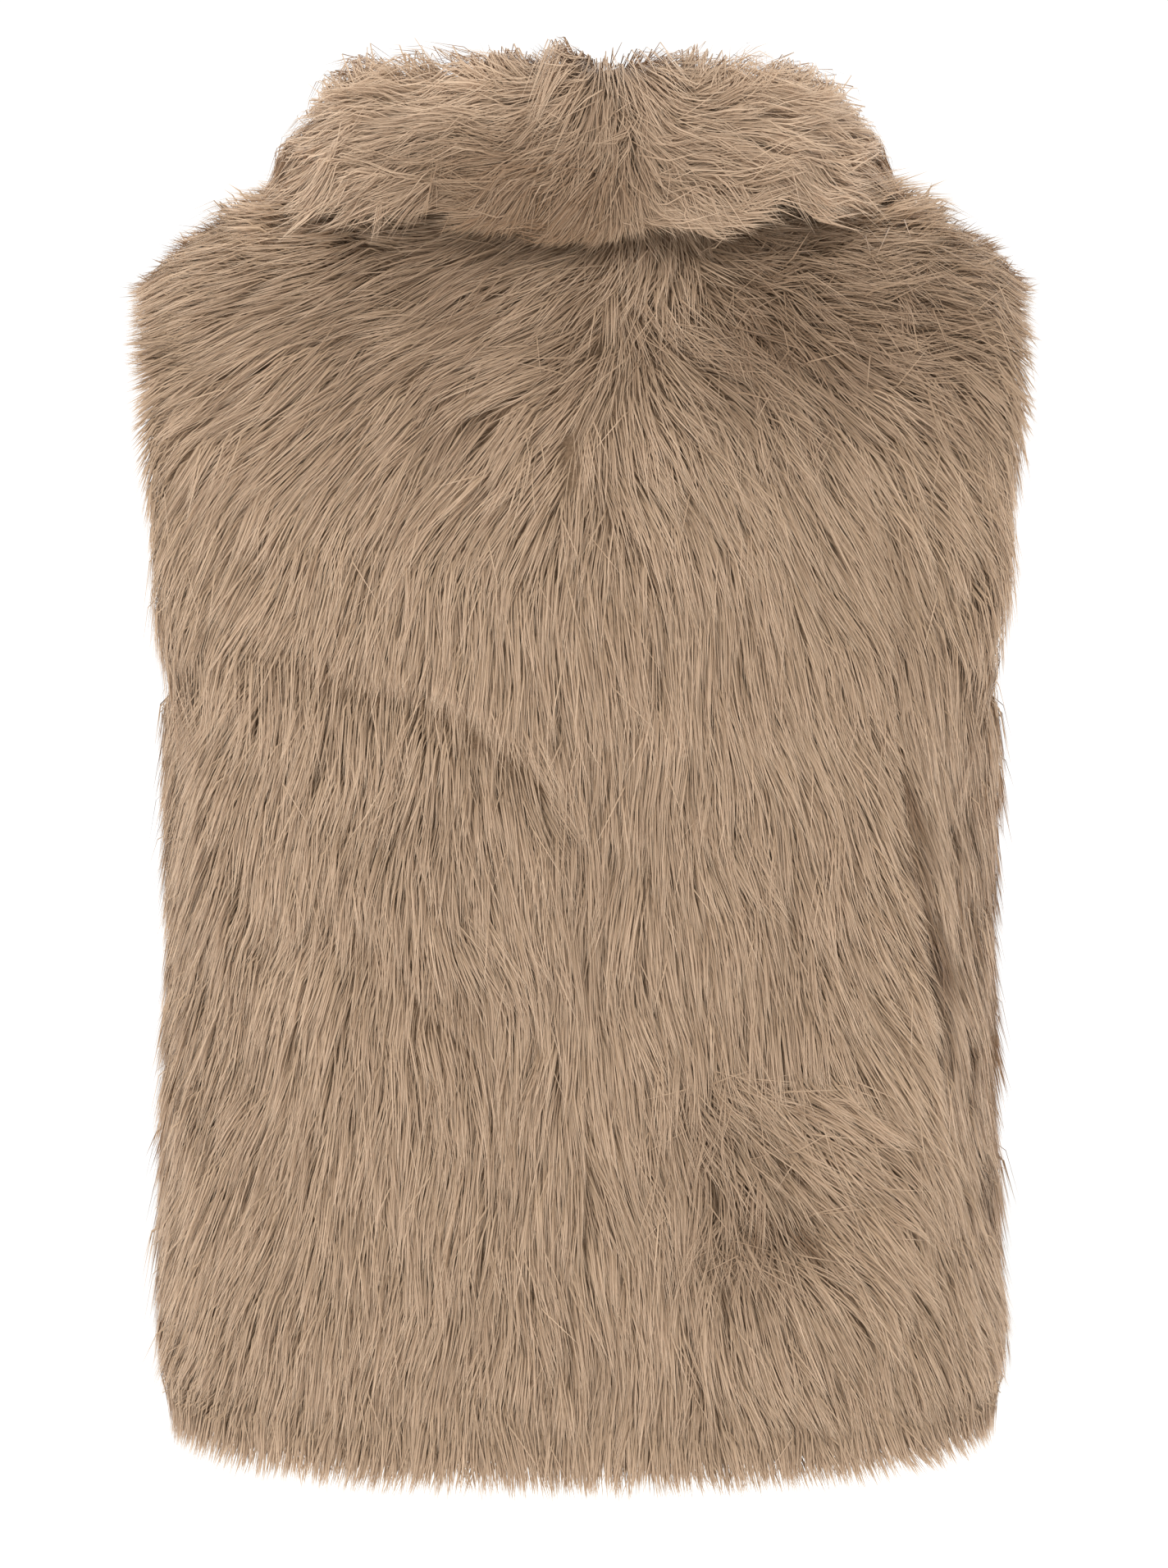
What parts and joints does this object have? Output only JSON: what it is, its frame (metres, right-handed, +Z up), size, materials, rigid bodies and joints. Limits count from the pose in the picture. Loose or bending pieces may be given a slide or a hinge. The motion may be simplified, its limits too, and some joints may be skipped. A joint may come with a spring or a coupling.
{
  "type": "fur vest",
  "caption": "Sleeveless hip-length vest of long-pile fur with a turned-down collar, hollow in its worn form, open at neck, armholes and hem.",
  "frame": {"origin": "where the wearer's shoulders hold the vest: midway between the middles of the two shoulder seams, on the inside of the cloth", "axes": "+Z up; the front faces -Y and the back +Y; +X is the wearer's left"},
  "size_m": [0.4386, 0.2793, 0.6696],
  "materials": {
    "fur": "long soft pile, beige brown"
  },
  "bodies": {
    "root": {"back": "fur", "front_left": "fur", "front_right": "fur", "collar_left": "fur", "collar_right": "fur"}
  },
  "joints": []
}
